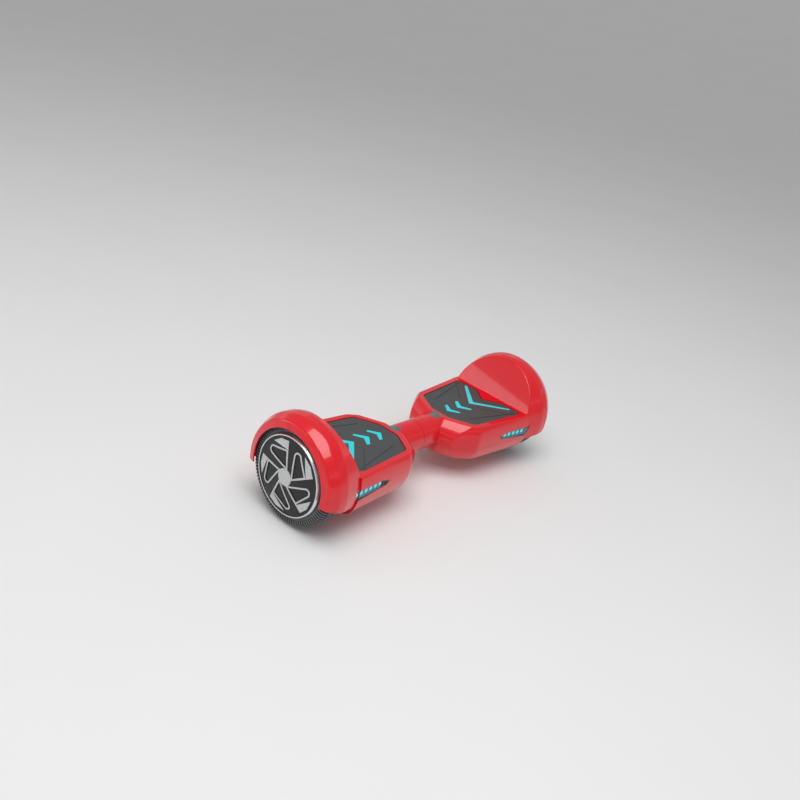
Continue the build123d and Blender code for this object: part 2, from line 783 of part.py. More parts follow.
with BuildPart() as hub_shell:
    revolve(
        turned(
            [
                (cover_plane_x, magnet_radius),
                (cover_plane_x, bead_radius + 1.2),
                (tyre_x - bead_half - 1.5, bead_radius + 1.2),
                (tyre_x - bead_half - 0.3, bead_radius - 0.05),
                (tyre_x + bead_half + 0.3, bead_radius - 0.05),
                (tyre_x + bead_half + 1.5, bead_radius + 1.2),
                (ring_x - 2.5, bead_radius + 1.2),
                (ring_x, bead_radius - 0.3),
                (ring_x, bead_radius - 2.0),
                (face_x + face_thickness, bead_radius - 2.4),
                (face_x + face_thickness, bearing_radius + boss_wall),
                (tyre_x + bearing_inset + bearing_width + 0.5, bearing_radius + boss_wall),
                (tyre_x + bearing_inset + bearing_width + 0.5, bearing_radius),
                (tyre_x + bearing_inset, bearing_radius),
                (tyre_x + bearing_inset, bearing_radius + boss_wall),
                (face_x, bearing_radius + boss_wall),
                (face_x, magnet_radius),
            ]
        ),
        axis=axle_axis,
    )
    with BuildSketch(Plane.YZ.offset(cover_plane_x)):
        with Locations((0, axle_height)):
            with PolarLocations(bead_radius - hub_wall / 2, 6):
                Circle(1.5)
    extrude(amount=12.0, mode=Mode.SUBTRACT)
save_pair(hub_shell.part, "hub_shell")

with BuildPart() as motor_cover:
    revolve(
        turned(
            [
                (cover_plane_x - cover_thickness, bearing_radius),
                (cover_plane_x - cover_thickness, bead_radius - 0.2),
                (cover_plane_x, bead_radius - 0.2),
                (cover_plane_x, magnet_radius - 0.1),
                (cover_plane_x + 2.0, magnet_radius - 0.1),
                (cover_plane_x + 2.0, bearing_radius + boss_wall),
                (tyre_x - bearing_inset, bearing_radius + boss_wall),
                (tyre_x - bearing_inset, bearing_radius),
            ]
        ),
        axis=axle_axis,
    )
    with Locations(cover_face):
        with PolarLocations(bead_radius - hub_wall / 2, 6):
            CounterSinkHole(1.6, 2.6, depth=8.0)
save_pair(motor_cover.part, "motor_cover")

with BuildPart() as cover_screws:
    with BuildSketch(Plane.YZ.offset(cover_plane_x - cover_thickness + 0.1)):
        with Locations((0, axle_height)):
            with PolarLocations(bead_radius - hub_wall / 2, 6):
                Circle(2.4)
    extrude(amount=1.0, taper=42)
    with BuildSketch(Plane.YZ.offset(cover_plane_x - cover_thickness + 1.0)):
        with Locations((0, axle_height)):
            with PolarLocations(bead_radius - hub_wall / 2, 6):
                Circle(1.45)
    extrude(amount=cover_thickness + 9.0)
save_pair(cover_screws.part, "cover_screws")

with BuildPart() as motor_bearings:
    for centre in (-bearing_inset - bearing_width / 2, bearing_inset + bearing_width / 2):
        x = tyre_x + centre
        revolve(
            turned(
                [
                    (x - bearing_width / 2 + 0.2, axle_radius + running_clearance),
                    (x - bearing_width / 2 + 0.2, axle_radius + 2.8),
                    (x - bearing_width / 2 + 0.8, axle_radius + 3.2),
                    (x - bearing_width / 2 + 0.8, bearing_radius - 3.2),
                    (x - bearing_width / 2 + 0.2, bearing_radius - 2.8),
                    (x - bearing_width / 2 + 0.2, bearing_radius - running_clearance),
                    (x + bearing_width / 2 - 0.2, bearing_radius - running_clearance),
                    (x + bearing_width / 2 - 0.2, bearing_radius - 2.8),
                    (x + bearing_width / 2 - 0.8, bearing_radius - 3.2),
                    (x + bearing_width / 2 - 0.8, axle_radius + 3.2),
                    (x + bearing_width / 2 - 0.2, axle_radius + 2.8),
                    (x + bearing_width / 2 - 0.2, axle_radius + running_clearance),
                ]
            ),
            axis=axle_axis,
        )
save_pair(motor_bearings.part, "motor_bearings")

with BuildPart() as tyre:
    revolve(
        turned(
            [
                (tyre_x - bead_half, bead_radius),
                (tyre_x - half_tyre, bead_radius + 6.5),
                (tyre_x - half_tyre + 8.0, wheel_radius),
                (tyre_x + half_tyre - 8.0, wheel_radius),
                (tyre_x + half_tyre, bead_radius + 6.5),
                (tyre_x + bead_half, bead_radius),
            ],
            [0, 5.0, 5.0, 5.0, 5.0, 0],
        ),
        axis=axle_axis,
    )
    for shift in (-7.5, 0, 7.5):
        revolve(
            turned(
                [
                    (tyre_x + shift - 0.9, wheel_radius - 2.0),
                    (tyre_x + shift - 1.2, wheel_radius + 1.0),
                    (tyre_x + shift + 1.2, wheel_radius + 1.0),
                    (tyre_x + shift + 0.9, wheel_radius - 2.0),
                ]
            ),
            axis=axle_axis,
            mode=Mode.SUBTRACT,
        )
save_pair(tyre.part, "tyre")

# ------------------------------------------------------------------ hubcap and its trim
cap_edge_x = ring_x - 1.0
hubcap_back_x = face_x + face_thickness + fit_clearance
cap_dome = 5.6
cap_wall = 2.0
pocket_depth = 0.9
trim_height = 0.7
spoke_count = 5
spoke_turn = 56.0
stripe = 2.6                 # width of the trim's lines


def dome_face(lift, radius):
    """Half section under the hubcap's domed front, raised by a lift, out to a radius."""
    sag = cap_dome * (radius / hubcap_radius) ** 2
    middle_sag = sag / 4
    centre_x = cap_edge_x + cap_dome + lift
    with BuildSketch(axle_plane) as face:
        with BuildLine():
            ThreePointArc((centre_x, 0), (centre_x - middle_sag, radius / 2), (centre_x - sag, radius))
            Polyline((centre_x - sag, radius), (hubcap_back_x, radius), (hubcap_back_x, 0), (centre_x, 0))
        make_face()
    return face.sketch


def clock(radius, angle):
    """A point on the wheel's face, by radius and by angle from the front, turning upwards."""
    turn = radians(angle + spoke_turn)
    return (-radius * cos(turn), radius * sin(turn))


wheel_face = Plane(origin=(face_x, 0, axle_height), x_dir=(0, 1, 0), z_dir=(1, 0, 0))
prism_length = 2 * face_thickness + cap_dome + 9.0
loop_radii = [0, 7.0, 6.0, 1.0, 0]
trim_centre_radius = 14.0


def loop_corners(step):
    """Corners of one pocket's outline: one by the centre, round the outside, and back."""
    return [
        clock(trim_centre_radius, step - 35),
        clock(hubcap_radius - 10.0, step + 24),
        clock(hubcap_radius - 9.5, step + 9),
        clock(hubcap_radius - 19.0, step - 32),
        clock(trim_centre_radius, step - 52),
    ]


def wedge_corners(step):
    """Corners of one bright wedge by the rim, with the spoke that joins it to the centre."""
    return [
        clock(hubcap_radius - 18.0, step - 29.5),
        clock(hubcap_radius - 5.0, step + 3),
        clock(hubcap_radius - 3.6, step - 14),
        clock(hubcap_radius - 5.0, step - 31),
        clock(trim_centre_radius, step - 52),
        clock(trim_centre_radius - 1.0, step - 46),
    ]


def face_prisms(pockets):
    """Prisms over the pockets' insides, or over the trim's loops, wedges and centre."""
    prisms = []
    for index in range(spoke_count):
        step = index * 360.0 / spoke_count
        inside = profile(loop_corners(step), wheel_face, loop_radii, stripe)
        with BuildPart() as loop:
            if pockets:
                extrude(inside, amount=prism_length)
            else:
                extrude(profile(loop_corners(step), wheel_face, loop_radii), amount=prism_length)
                extrude(inside, amount=prism_length, mode=Mode.SUBTRACT)
        prisms.append(loop.part)
        if not pockets:
            with BuildPart() as wedge:
                extrude(profile(wedge_corners(step), wheel_face), amount=prism_length)
            prisms.append(wedge.part)
    if not pockets:
        with BuildPart() as centre:
            extrude(disc(wheel_face, trim_centre_radius), amount=prism_length)
        prisms.append(centre.part)
    return prisms


def face_layer(low, high, prisms):
    """What stands over each prism in a layer of the domed face, between two lifts."""
    with BuildPart() as layer:
        revolve(dome_face(high, hubcap_radius), axis=axle_axis)
        revolve(dome_face(low, hubcap_radius), axis=axle_axis, mode=Mode.SUBTRACT)
    return [layer.part & prism for prism in prisms]


with BuildPart() as hubcap:
    revolve(dome_face(0, hubcap_radius), axis=axle_axis)
    revolve(dome_face(-cap_wall, hubcap_radius - 4.0), axis=axle_axis, mode=Mode.SUBTRACT)
    add(face_layer(-pocket_depth, 0.5, face_prisms(pockets=True)), mode=Mode.SUBTRACT)
save_pair(hubcap.part, "hubcap")

with BuildPart() as hubcap_trim:
    add(face_layer(0, trim_height, face_prisms(pockets=False)))
save_pair(hubcap_trim.part, "hubcap_trim")

# ------------------------------------------------------------------ swivel
tube_end = boss_end_x + 4.0
ring_start = boss_end_x + 1.7
ring_thickness = 1.4
tube_wall = 2.5
clip_depth = 1.0

with BuildPart() as pivot_tube:
    with BuildSketch(Plane.YZ.offset(-boss_end_x)):
        with Locations((0, swivel_height)):
            Circle(tube_radius)
    extrude(amount=boss_end_x + tube_end)
    with BuildSketch(Plane.YZ.offset(ring_start - 0.1)):
        with Locations((0, swivel_height)):
            Circle(tube_radius + 1)
            Circle(tube_radius - clip_depth, mode=Mode.SUBTRACT)
    extrude(amount=ring_thickness + 0.2, mode=Mode.SUBTRACT)
    with BuildSketch(Plane.YZ.offset(-boss_end_x)):
        with Locations((0, swivel_height)):
            Circle(tube_radius - tube_wall)
    extrude(amount=boss_end_x + tube_end, mode=Mode.SUBTRACT)
    with BuildSketch(Plane.XY.offset(swivel_height)):
        with Locations((pin_x, 0)):
            Circle(limiter_radius + running_clearance)
    extrude(amount=tube_radius + 1, mode=Mode.SUBTRACT)
save(pivot_tube.part, "pivot_tube")

with BuildPart() as pivot_bushes:
    for start, flange_side in ((boss_start_x, -1), (boss_end_x - 16.0, 1)):
        flange_x = start if flange_side < 0 else start + 16.0
        with BuildSketch(Plane.YZ.offset(start)):
            with Locations((0, swivel_height)):
                Circle(bush_radius)
        extrude(amount=16.0)
        with BuildSketch(Plane.YZ.offset(flange_x)):
            with Locations((0, swivel_height)):
                Circle(bush_radius + 2.0)
        extrude(amount=flange_side * 1.4)
    with BuildSketch(Plane.YZ.offset(boss_start_x - 5)):
        with Locations((0, swivel_height)):
            Circle(tube_radius + running_clearance)
    extrude(amount=boss_end_x, mode=Mode.SUBTRACT)
save(pivot_bushes.part, "pivot_bushes")

with BuildPart() as retaining_ring:
    with BuildSketch(Plane.YZ.offset(ring_start)):
        with Locations((0, swivel_height)):
            Circle(tube_radius + 3.5)
            Circle(tube_radius - clip_depth + running_clearance, mode=Mode.SUBTRACT)
        with Locations((0, swivel_height - tube_radius - 2)):
            Rectangle(5.0, 8.0, mode=Mode.SUBTRACT)
    extrude(amount=ring_thickness)
save(retaining_ring.part, "retaining_ring")

with BuildPart() as limiter_pin:
    with BuildSketch(Plane.XY.offset(swivel_height + tube_radius - tube_wall)):
        with Locations((pin_x, 0)):
            Circle(limiter_radius)
    extrude(amount=pin_top - tube_radius + tube_wall)
save(limiter_pin.part, "limiter_pin")

# ------------------------------------------------------------------ battery, boards and leads
battery_start = boss_end_x + 22.0
battery_end = tail_x - 18.0
battery_half_width = 34.0
battery_floor = belly_height + wall + 2.8
battery_top = plate_height - 0.5
strap_thickness = 1.2
strap_x = battery_start + 48.0
strap_width = 20.0

with BuildPart() as battery_pack:
    with BuildSketch(Plane.XY.offset(battery_floor)):
        with Locations((-(battery_start + battery_end) / 2, 0)):
            RectangleRounded(battery_end - battery_start, 2 * battery_half_width, 8.0)
    extrude(amount=battery_top - battery_floor)
    fillet(battery_pack.edges().group_by(Axis.Z)[-1] + battery_pack.edges().group_by(Axis.Z)[0], 3.0)
save(battery_pack.part, "battery_pack")

with BuildPart() as battery_strap:
    inner_y = battery_half_width + 0.2
    outer_y = inner_y + strap_thickness
    strap_floor = battery_floor - 0.1 - strap_thickness
    with BuildSketch(Plane.YZ.offset(-strap_x - strap_width / 2)):
        with Locations((0, (strap_floor + plate_height) / 2)):
            Rectangle(2 * outer_y, plate_height - strap_floor)
        with Locations((0, plate_height - strap_thickness / 2)):
            Rectangle(2 * outer_y + 18.0, strap_thickness)
        with Locations((0, (battery_floor - 0.1 + plate_height) / 2)):
            Rectangle(2 * inner_y, plate_height - battery_floor + 0.1, mode=Mode.SUBTRACT)
    extrude(amount=strap_width)
save(battery_strap.part, "battery_strap")

header_x = battery_start + 3.0       # face of the main board's riser, on the swivel axis
plug_length = 13.0
lead_radius = 2.6
lead_y = 4.6

with BuildPart() as main_board:
    with BuildSketch(Plane.XY.offset(main_board_height)):
        with Locations(((main_board_start + main_board_end) / 2, 0)):
            Rectangle(main_board_end - main_board_start, 2 * main_board_half_width)
    extrude(amount=board_thickness)
    with BuildSketch(Plane.XY.offset(main_board_height + board_thickness)):
        with Locations((header_x + 3.0, 0)):
            Rectangle(5.0, 18.0)
    extrude(amount=swivel_height + 5.0 - main_board_height - board_thickness)
    with BuildSketch(Plane.XY.offset(main_board_height + board_thickness)):
        with Locations((main_board_end - 24, 0)):
            Rectangle(34.0, 40.0)
        with Locations((slot_end - 10.0, 0)):
            Rectangle(9.0, 12.0)
    extrude(amount=4.0)
    with BuildSketch(Plane.XY.offset(main_board_height + board_thickness + 3.0)):
        with Locations((main_board_end - 24, 0)):
            with GridLocations(0, 5.0, 1, 8):
                Rectangle(34.0, 2.0)
    extrude(amount=8.0)
    with BuildSketch(Plane.XY.offset(main_board_height + board_thickness)):
        with Locations(((main_board_start + main_board_end) / 2 - 4, 0)):
            with GridLocations(0, 15.0, 1, 3):
                Circle(5.0)
    extrude(amount=10.0)
save(main_board.part, "main_board")


def lead(route, radii, plug_y=None):
    """A round lead swept along straight runs joined by arcs."""
    with BuildPart() as cable:
        with BuildLine() as path:
            FilletPolyline(*route, radius=radii)
        start = path.line @ 0
        heading = path.line % 0
        with BuildSketch(Plane(origin=start, z_dir=heading)):
            Circle(lead_radius)
        sweep()
        if plug_y:
            with BuildSketch(Plane.YZ.offset(header_x - 0.5 - plug_length)):
                with Locations((plug_y, swivel_height)):
                    RectangleRounded(8.0, 8.0, 1.0)
            extrude(amount=plug_length)
    return cable.part


lead_end = header_x - plug_length
cable_height = plate_top + 4.8

battery_lead = lead(
    [
        (-battery_start, 0, swivel_height - 20),
        (-battery_start + 9, 0, swivel_height - 20),
        (-battery_start + 17, lead_y * 0.6, swivel_height - 9),
        (-battery_start + 30, lead_y, swivel_height),
        (lead_end, lead_y, swivel_height),
    ],
    [8.0, 9.0, 12.0],
    lead_y,
)
save(battery_lead, "battery_lead")

left_motor_lead = lead(
    [
        (-axle_start, 0, axle_height),
        (-axle_start + 12, 0, axle_height),
        (-axle_start + 30, -lead_y, cable_height),
        (-slot_end, -lead_y, cable_height),
        (-boss_end_x + 6, -lead_y, swivel_height),
        (lead_end, -lead_y, swivel_height),
    ],
    [18.0, 20.0, 60.0, 60.0],
    -lead_y,
)
save(left_motor_lead, "left_motor_lead")

right_motor_lead = lead(
    [
        (axle_start, 0, axle_height),
        (axle_start - 12, 0, axle_height),
        (axle_start - 30, lead_y, cable_height),
        (slot_end + 4, lead_y, cable_height),
        (slot_end - 10, 0, cable_height - 6),
        (slot_end - 10, 0, main_board_height + board_thickness + 4.0),
    ],
    [18.0, 20.0, 12.0, 7.0],
)
save(right_motor_lead, "right_motor_lead")

# ------------------------------------------------------------------ button, socket and cap
button_front = 2.2           # how far the button stands out of its seat
button_length = 10.0
button_travel = 1.2

with BuildPart() as power_button:
    extrude(disc(back_plane(button_x, button_seat_y + button_front), button_radius), amount=-button_length)
    fillet(power_button.edges().sort_by(Axis.Y)[-1], 1.0)
    stop_y = button_seat_y + button_front - button_length + 0.1
    extrude(disc(back_plane(button_x, stop_y), button_radius + 1.4), amount=-1.6)
save(power_button.part, "power_button")

with BuildPart() as power_switch:
    switch_face = button_seat_y + button_front - button_length - 1.5 - button_travel - 0.4
    with BuildSketch(back_plane(button_x, switch_face)):
        Circle(3.0)
    extrude(amount=-2.0)
    with BuildSketch(back_plane(button_x, switch_face - 2.0)):
        RectangleRounded(14.0, 12.0, 1.0)
    extrude(amount=-7.0)
save(power_switch.part, "power_switch")

recess_depth = 11.5
socket_face = back_plane(socket_x, socket_seat_y + flange_thickness)

with BuildPart() as charge_socket:
    extrude(disc(socket_face, socket_radius + 2.0), amount=-flange_thickness)
    extrude(disc(back_plane(socket_x, socket_seat_y), socket_radius), amount=-18.0)
    extrude(disc(socket_face, recess_radius), amount=-recess_depth, mode=Mode.SUBTRACT)
    with BuildSketch(socket_face.offset(-recess_depth)):
        with PolarLocations(3.2, 3):
            Circle(0.9)
    extrude(amount=4.0)
save(charge_socket.part, "charge_socket")

with BuildPart() as charge_cap:
    cap_y = socket_seat_y + flange_thickness + 0.4
    extrude(disc(back_plane(socket_x, cap_y), cap_radius), amount=cap_thickness)
    with BuildSketch(Plane.YZ.offset(socket_x - knuckle_length / 2)):
        with Locations((hinge_y, socket_height + hinge_rise)):
            Circle(knuckle_radius)
        with Locations((cap_y + cap_thickness / 2, socket_height + hinge_rise - 3.0)):
            Rectangle(cap_thickness, 6.0)
    extrude(amount=knuckle_length)
    with BuildSketch(Plane.YZ.offset(socket_x - knuckle_length / 2 - 0.4 - lug_width)):
        with Locations((hinge_y, socket_height + hinge_rise)):
            Circle(pin_radius)
    extrude(amount=knuckle_length + 2 * (lug_width + 0.4))
save(charge_cap.part, "charge_cap")
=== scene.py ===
import json
from math import cos, pi, radians, sin

import bpy
import numpy as np
from bpy.props import FloatProperty, FloatVectorProperty, IntProperty, PointerProperty
from mathutils import Matrix, Vector


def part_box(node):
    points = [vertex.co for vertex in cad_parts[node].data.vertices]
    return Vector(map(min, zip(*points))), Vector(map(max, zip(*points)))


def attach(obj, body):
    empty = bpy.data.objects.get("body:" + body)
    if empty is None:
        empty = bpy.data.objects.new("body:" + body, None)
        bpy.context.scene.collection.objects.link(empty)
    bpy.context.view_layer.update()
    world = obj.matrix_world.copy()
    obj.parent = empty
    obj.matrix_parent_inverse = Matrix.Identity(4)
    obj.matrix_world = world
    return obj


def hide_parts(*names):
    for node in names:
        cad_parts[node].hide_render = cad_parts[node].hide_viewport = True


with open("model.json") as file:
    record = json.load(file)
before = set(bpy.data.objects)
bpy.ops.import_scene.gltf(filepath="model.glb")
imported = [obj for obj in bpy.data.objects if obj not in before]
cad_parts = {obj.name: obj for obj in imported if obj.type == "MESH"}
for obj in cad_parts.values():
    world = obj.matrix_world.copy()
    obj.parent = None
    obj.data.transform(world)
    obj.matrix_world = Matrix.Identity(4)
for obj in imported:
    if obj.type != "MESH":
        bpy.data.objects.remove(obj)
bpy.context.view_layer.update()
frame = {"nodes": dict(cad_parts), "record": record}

bl_info = {
    "name": "Self Balancing Board",
    "version": (1, 0, 0),
    "blender": (4, 5, 0),
    "location": "3D View > Sidebar > Board",
    "description": "Builds the looks of a two-wheeled self balancing board around its CAD parts",
    "category": "Add Mesh",
}

MM = 0.001
SIDES = {"left": -1.0, "right": 1.0}


# ---------------------------------------------------------------- places taken from the frame
def span(node):
    """Lowest and highest corner of a CAD part as numpy arrays, in metres."""
    low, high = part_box(node)
    return np.array(low), np.array(high)


tyre_low, tyre_high = span("right_tyre")
wheel_radius = (tyre_high[2] - tyre_low[2]) / 2
wheel_centre = (tyre_low + tyre_high) / 2
half_tyre = (tyre_high[0] - tyre_low[0]) / 2
rim_low, rim_high = span("right_hub_shell")
rim_flange = 1.2 * MM
bead_radius = (rim_high[2] - rim_low[2]) / 2 - rim_flange
lens_low, lens_high = span("right_headlight_lens")


# ---------------------------------------------------------------- settings
class TyreSettings(bpy.types.PropertyGroup):
    """Sizes of the tyre's tread."""

    ribs: IntProperty(
        name="Shoulder ribs", description="Radial ribs round each shoulder", default=92, min=24, max=160
    )
    rib_depth: FloatProperty(
        name="Rib depth", description="Depth of the gaps between ribs", default=1.7 * MM, unit="LENGTH"
    )
    groove_depth: FloatProperty(
        name="Groove depth",
        description="Depth of the grooves round the tread",
        default=2.0 * MM,
        unit="LENGTH",
    )
    groove_width: FloatProperty(
        name="Groove width",
        description="Width of the grooves round the tread",
        default=2.4 * MM,
        unit="LENGTH",
    )


class LampSettings(bpy.types.PropertyGroup):
    """Sizes of the headlights' lamps."""

    count: IntProperty(name="Lamps", description="Lamps in each headlight", default=6, min=1, max=12)
    pitch: FloatProperty(
        name="Lamp pitch", description="Distance between lamps", default=11.6 * MM, unit="LENGTH"
    )
    bowl_radius: FloatProperty(
        name="Bowl radius", description="Radius of the bowl round each lamp", default=5.2 * MM, unit="LENGTH"
    )
    bulb_radius: FloatProperty(
        name="Bulb radius", description="Radius of each lamp's bulb", default=3.1 * MM, unit="LENGTH"
    )


class FinishSettings(bpy.types.PropertyGroup):
    """Colours of the main finishes."""

    shell: FloatVectorProperty(
        name="Shell", description="Colour of the shells", subtype="COLOR", default=(0.74, 0.0, 0.010)
    )
    pad: FloatVectorProperty(
        name="Foot pad",
        description="Colour of the foot pads",
        subtype="COLOR",
        default=(0.060, 0.066, 0.068),
    )
    glow: FloatVectorProperty(
        name="Lights", description="Colour of the lights", subtype="COLOR", default=(0.0, 0.62, 0.70)
    )


class StageSettings(bpy.types.PropertyGroup):
    """Place of the camera and strength of the lights."""

    azimuth: FloatProperty(
        name="Azimuth", description="Camera's turn about the board", subtype="ANGLE", default=radians(-52.65)
    )
    elevation: FloatProperty(
        name="Elevation", description="Camera's height as an angle", subtype="ANGLE", default=radians(25.3)
    )
    roll: FloatProperty(
        name="Roll", description="Camera's turn about its own line of sight", subtype="ANGLE",
        default=radians(12.44)
    )
    distance: FloatProperty(
        name="Distance", description="Camera to the point it looks at", default=1.5893, unit="LENGTH"
    )
    key_power: FloatProperty(name="Key light", description="Power of the main light", default=50.0, min=0.0)


# ---------------------------------------------------------------- meshes
def smoothstep(value, low, high):
    """0 below low, 1 above high and an S-curve between them."""
    t = np.clip((value - low) / (high - low), 0.0, 1.0)
    return t * t * (3.0 - 2.0 * t)


def grid_faces(rows, columns, close_rows, close_columns):
    """Quads between neighbouring points of a grid, wrapped round where it closes."""
    r = np.arange(rows if close_rows else rows - 1)
    c = np.arange(columns if close_columns else columns - 1)
    r, c = np.meshgrid(r, c, indexing="ij")
    r2, c2 = (r + 1) % rows, (c + 1) % columns
    corners = [r * columns + c, r * columns + c2, r2 * columns + c2, r2 * columns + c]
    return np.stack(corners, axis=-1).reshape(-1, 4)


def signed_volume(points, quads):
    """Volume inside a closed skin of quads, negative where they face inwards."""
    a, b, c, d = (points[quads[:, i]] for i in range(4))
    return float(np.sum(a * np.cross(b, c)) + np.sum(a * np.cross(c, d))) / 6.0


def new_piece(name, points, quads, attributes=None):
    """A smooth-shaded object from points and quads, turned to face outwards if it is closed."""
    if signed_volume(points, quads) < 0:
        quads = quads[:, ::-1]
    mesh = bpy.data.meshes.new(name)
    mesh.vertices.add(len(points))
    mesh.vertices.foreach_set("co", np.ascontiguousarray(points, dtype=np.float32).ravel())
    mesh.loops.add(quads.size)
    mesh.loops.foreach_set("vertex_index", np.ascontiguousarray(quads, dtype=np.int32).ravel())
    mesh.polygons.add(len(quads))
    mesh.polygons.foreach_set("loop_start", np.arange(0, quads.size, 4, dtype=np.int32))
    mesh.polygons.foreach_set("use_smooth", np.ones(len(quads), dtype=bool))
    mesh.update(calc_edges=True)
    mesh.validate()
    for key, values in (attributes or {}).items():
        attribute = mesh.attributes.new(key, "FLOAT", "POINT")
        attribute.data.foreach_set("value", values.astype(np.float32).ravel())
    piece = bpy.data.objects.new(name, mesh)
    bpy.context.scene.collection.objects.link(piece)
    return piece


def resampled(line, count):
    """The same open line with its points spread evenly along it."""
    steps = np.linalg.norm(np.diff(line, axis=0), axis=1)
    along = np.concatenate([[0.0], np.cumsum(steps)])
    even = np.linspace(0.0, along[-1], count)
    return np.stack([np.interp(even, along, line[:, i]) for i in range(line.shape[1])], axis=1)


# ---------------------------------------------------------------- tyres
squareness = 0.72            # power of the tread's superellipse, 1 being an ellipse
sidewall_height = 7.5 * MM   # bead seat to the tyre's widest point
bead_tuck = 5.0 * MM         # how far the sidewall comes in at the bead


def tyre_profile(rows):
    """Half section of the tyre as (x, radius): a superellipse over the tread, tucked in to the beads.

    Above the widest point x = w cos(a)^s and r = m + h sin(a)^s, with s the squareness; below it
    the sidewall follows a quarter cosine in to the bead seat.
    """
    widest = bead_radius + sidewall_height
    height = wheel_radius - widest
    angle = np.linspace(0.0, pi, 1601)
    cosine, sine = np.cos(angle), np.sin(angle)
    tread_x = -half_tyre * np.sign(cosine) * np.abs(cosine) ** squareness
    tread_r = widest + height * np.abs(sine) ** squareness
    tread = np.stack([tread_x, tread_r], axis=1)
    drop = np.linspace(0.0, 1.0, 60)
    side_x = half_tyre - bead_tuck * (1.0 - np.cos(drop * pi / 2))
    side_r = widest - sidewall_height * drop
    first = np.stack([-side_x[::-1], side_r[::-1]], axis=1)
    last = np.stack([side_x, side_r], axis=1)
    return resampled(np.concatenate([first[:-1], tread, last[1:]]), rows)


def tread_relief(x, radius, angle, settings):
    """Depth cut into the tyre at each point.

    Ribs: a squared-off cosine of the angle over both shoulders, slanted with x. Grooves: two
    bells round the tread and one at its middle. Sipes: a slanted cosine over the middle blocks.
    """
    rib_slant, sipe_slant = 4.0, 7.0
    groove_place = 8.2 * MM
    side = np.abs(x)
    wave = np.cos(settings.ribs * (angle + rib_slant * side))
    shoulder = smoothstep(radius, wheel_radius - 15.0 * MM, wheel_radius - 13.5 * MM)
    shoulder = shoulder * smoothstep(side, 9.4 * MM, 10.4 * MM)
    ribs = settings.rib_depth * shoulder * smoothstep(wave, -0.1, 0.55)
    cut = np.zeros_like(x)
    on_tread = smoothstep(radius, wheel_radius - 3.0 * MM, wheel_radius - 1.0 * MM)
    for place, share in ((groove_place, 1.0), (0.0, 0.8)):
        distance = np.abs(side - place)
        bell = 1.0 - smoothstep(distance, 0.25 * settings.groove_width, 0.6 * settings.groove_width)
        cut = np.maximum(cut, settings.groove_depth * share * bell * on_tread)
    sipe_wave = np.cos(settings.ribs / 2 * (angle - sipe_slant * side) + pi / 3)
    blocks = (1.0 - smoothstep(side, 6.6 * MM, 7.2 * MM)) * smoothstep(side, 1.6 * MM, 2.2 * MM)
    sipes = 0.8 * settings.rib_depth * blocks * smoothstep(sipe_wave, 0.55, 0.9)
    return np.maximum(np.maximum(cut, sipes), ribs)


def sidewall_ridges(radius):
    """Height of the two raised rings moulded round the sidewall: narrow bells of the radius."""
    ridge_height, ridge_width = 0.45 * MM, 0.55 * MM
    height = np.zeros_like(radius)
    for place in (bead_radius + 2.0 * MM, bead_radius + 6.2 * MM):
        height = height + ridge_height * np.exp(-(((radius - place) / ridge_width) ** 2))
    return height


def tyre_points(sign, settings, rows=112):
    """Grid of the tyre: its half section turned about the axle and cut by the tread relief.

    Also gives how deep each point is cut, as a share of the ribs' depth, which the finish uses to paint
    shade into the cuts.
    """
    columns = settings.ribs * 5
    line = tyre_profile(rows)
    slope = np.gradient(line, axis=0)
    outward = np.stack([-slope[:, 1], slope[:, 0]], axis=1)
    outward /= np.linalg.norm(outward, axis=1)[:, None]
    angle = np.linspace(0.0, 2 * pi, columns, endpoint=False)
    x, r = line[:, :1] + 0 * angle, line[:, 1:] + 0 * angle
    depth = tread_relief(x, r, angle[None, :], settings)
    lift = sidewall_ridges(r) - depth
    x = x + outward[:, :1] * lift
    r = r + outward[:, 1:] * lift
    seat = bead_radius + 0.1 * MM
    seat_x = np.array([line[-1, 0], line[0, 0]])[:, None] + 0 * angle
    x = np.concatenate([x, seat_x])
    r = np.concatenate([r, np.full_like(seat_x, seat)])
    depth = np.concatenate([depth, np.zeros_like(seat_x)])
    y = r * np.cos(angle)
    z = wheel_centre[2] + r * np.sin(angle)
    return np.stack([sign * wheel_centre[0] + sign * x, y, z], axis=-1), depth / settings.rib_depth


class BOARD_OT_tyres(bpy.types.Operator):
    """Build both tyres with ribbed shoulders and a grooved tread"""

    bl_idname = "board.tyres"
    bl_label = "Build tyres"

    def execute(self, context):
        settings = context.scene.board_tyre
        for side, sign in SIDES.items():
            points, depth = tyre_points(sign, settings)
            quads = grid_faces(*points.shape[:2], True, True)
            tyre = new_piece(f"{side}_ribbed_tyre", points.reshape(-1, 3), quads, {"cut": depth})
            tyre.data.materials.append(finish("tyre"))
            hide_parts(f"{side}_tyre")
            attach(tyre, f"{side}_wheel")
        return {"FINISHED"}


# ---------------------------------------------------------------- headlight lamps
hull_lean = radians(5.4)     # the hull's front comes forward towards the wheel
lamp_inset = 34.5 * MM       # lens's outer end to the middle of the row
tray_setback = 2.5 * MM      # middle of the lens to the tray's flat front
tray_depth = 5.0 * MM
tray_height = 15.6 * MM


def lamp_frame(sign):
    """Centre, direction along the lamps, up and outward direction of one headlight's row."""
    along = np.array([sign * cos(hull_lean), -sin(hull_lean), 0.0])
    outward = np.array([-sign * sin(hull_lean), -cos(hull_lean), 0.0])
    middle = (lens_low + lens_high) / 2
    shift = lens_high[0] - lamp_inset - middle[0]
    centre = np.array([sign * middle[0], middle[1], middle[2]]) + shift * along
    return centre, along, np.array([0.0, 0.0, 1.0]), outward


